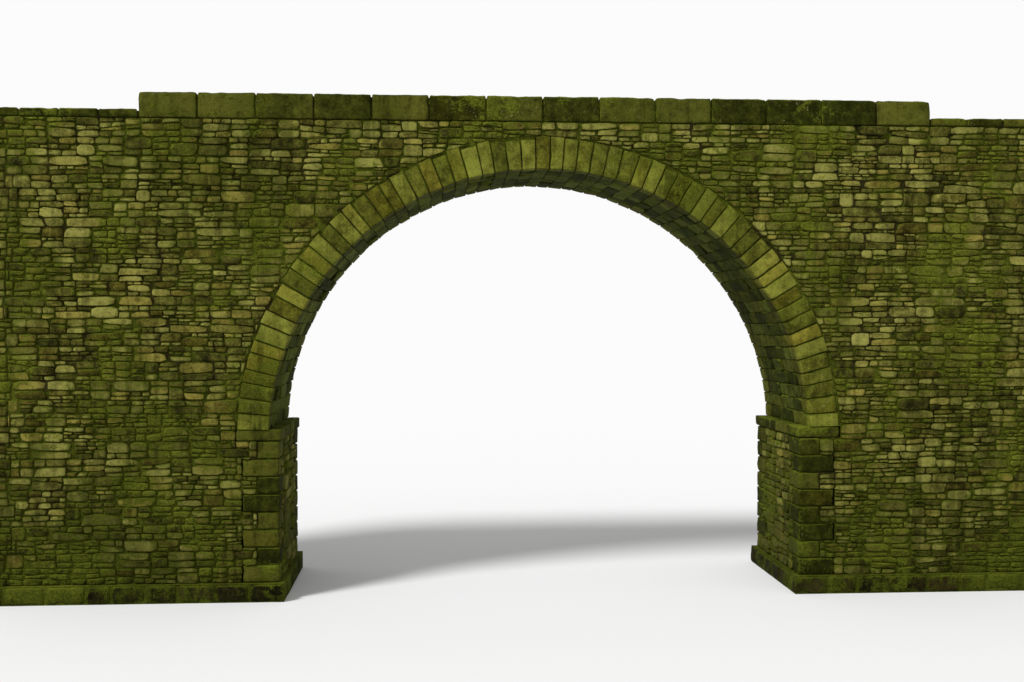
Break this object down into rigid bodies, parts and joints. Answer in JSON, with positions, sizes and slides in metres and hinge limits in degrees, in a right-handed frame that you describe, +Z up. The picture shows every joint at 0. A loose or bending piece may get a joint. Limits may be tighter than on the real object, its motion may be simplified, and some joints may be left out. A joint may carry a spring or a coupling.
{
  "type": "stone arch bridge",
  "caption": "Narrow stone road bridge with one high round arch, dressed ring stones, rubble walls and a level parapet of upright slabs, for crossing a stream.",
  "frame": {"origin": "on the stream bed, at the level of the undersides of the footings, under the crown of the arch and midway between the two faces", "axes": "+X runs along the road, to the right in the picture. +Y runs across the bridge, away from the face in the picture. +Z is up"},
  "size_m": [21.24, 3.24, 9.6],
  "materials": {
    "ring_stone": "weathered dressed stone, mossy and lichened",
    "vault_stone": "damp dark stone",
    "rubble_stone": "rough rubble with moss in its joints",
    "footing_stone": "damp rough stone",
    "corner_stone": "weathered dressed stone",
    "slab_stone": "weathered stone slabs, mossy on top",
    "fill_rubble": "packed rubble and earth",
    "road_gravel": "packed gravel and earth"
  },
  "bodies": {
    "root": {"footing_left": "footing_stone", "footing_right": "footing_stone", "abutment_left": "rubble_stone", "abutment_right": "rubble_stone", "front_quoins_left": "corner_stone", "front_quoins_right": "corner_stone", "back_quoins_left": "corner_stone", "back_quoins_right": "corner_stone", "impost_left": "corner_stone", "impost_right": "corner_stone", "arch_barrel": "vault_stone", "front_ring_left": "ring_stone", "front_ring_right": "ring_stone", "front_keystone": "ring_stone", "back_ring_left": "ring_stone", "back_ring_right": "ring_stone", "back_keystone": "ring_stone", "front_spandrel_left": "rubble_stone", "front_spandrel_right": "rubble_stone", "back_spandrel_left": "rubble_stone", "back_spandrel_right": "rubble_stone", "front_approach_wall_left": "rubble_stone", "front_approach_wall_right": "rubble_stone", "back_approach_wall_left": "rubble_stone", "back_approach_wall_right": "rubble_stone", "fill_left": "fill_rubble", "fill_right": "fill_rubble", "roadway": "road_gravel", "front_parapet_left": "slab_stone", "front_parapet_right": "slab_stone", "back_parapet_left": "slab_stone", "back_parapet_right": "slab_stone", "front_coping_left": "slab_stone", "front_coping_right": "slab_stone", "back_coping_left": "slab_stone", "back_coping_right": "slab_stone"}
  },
  "joints": []
}
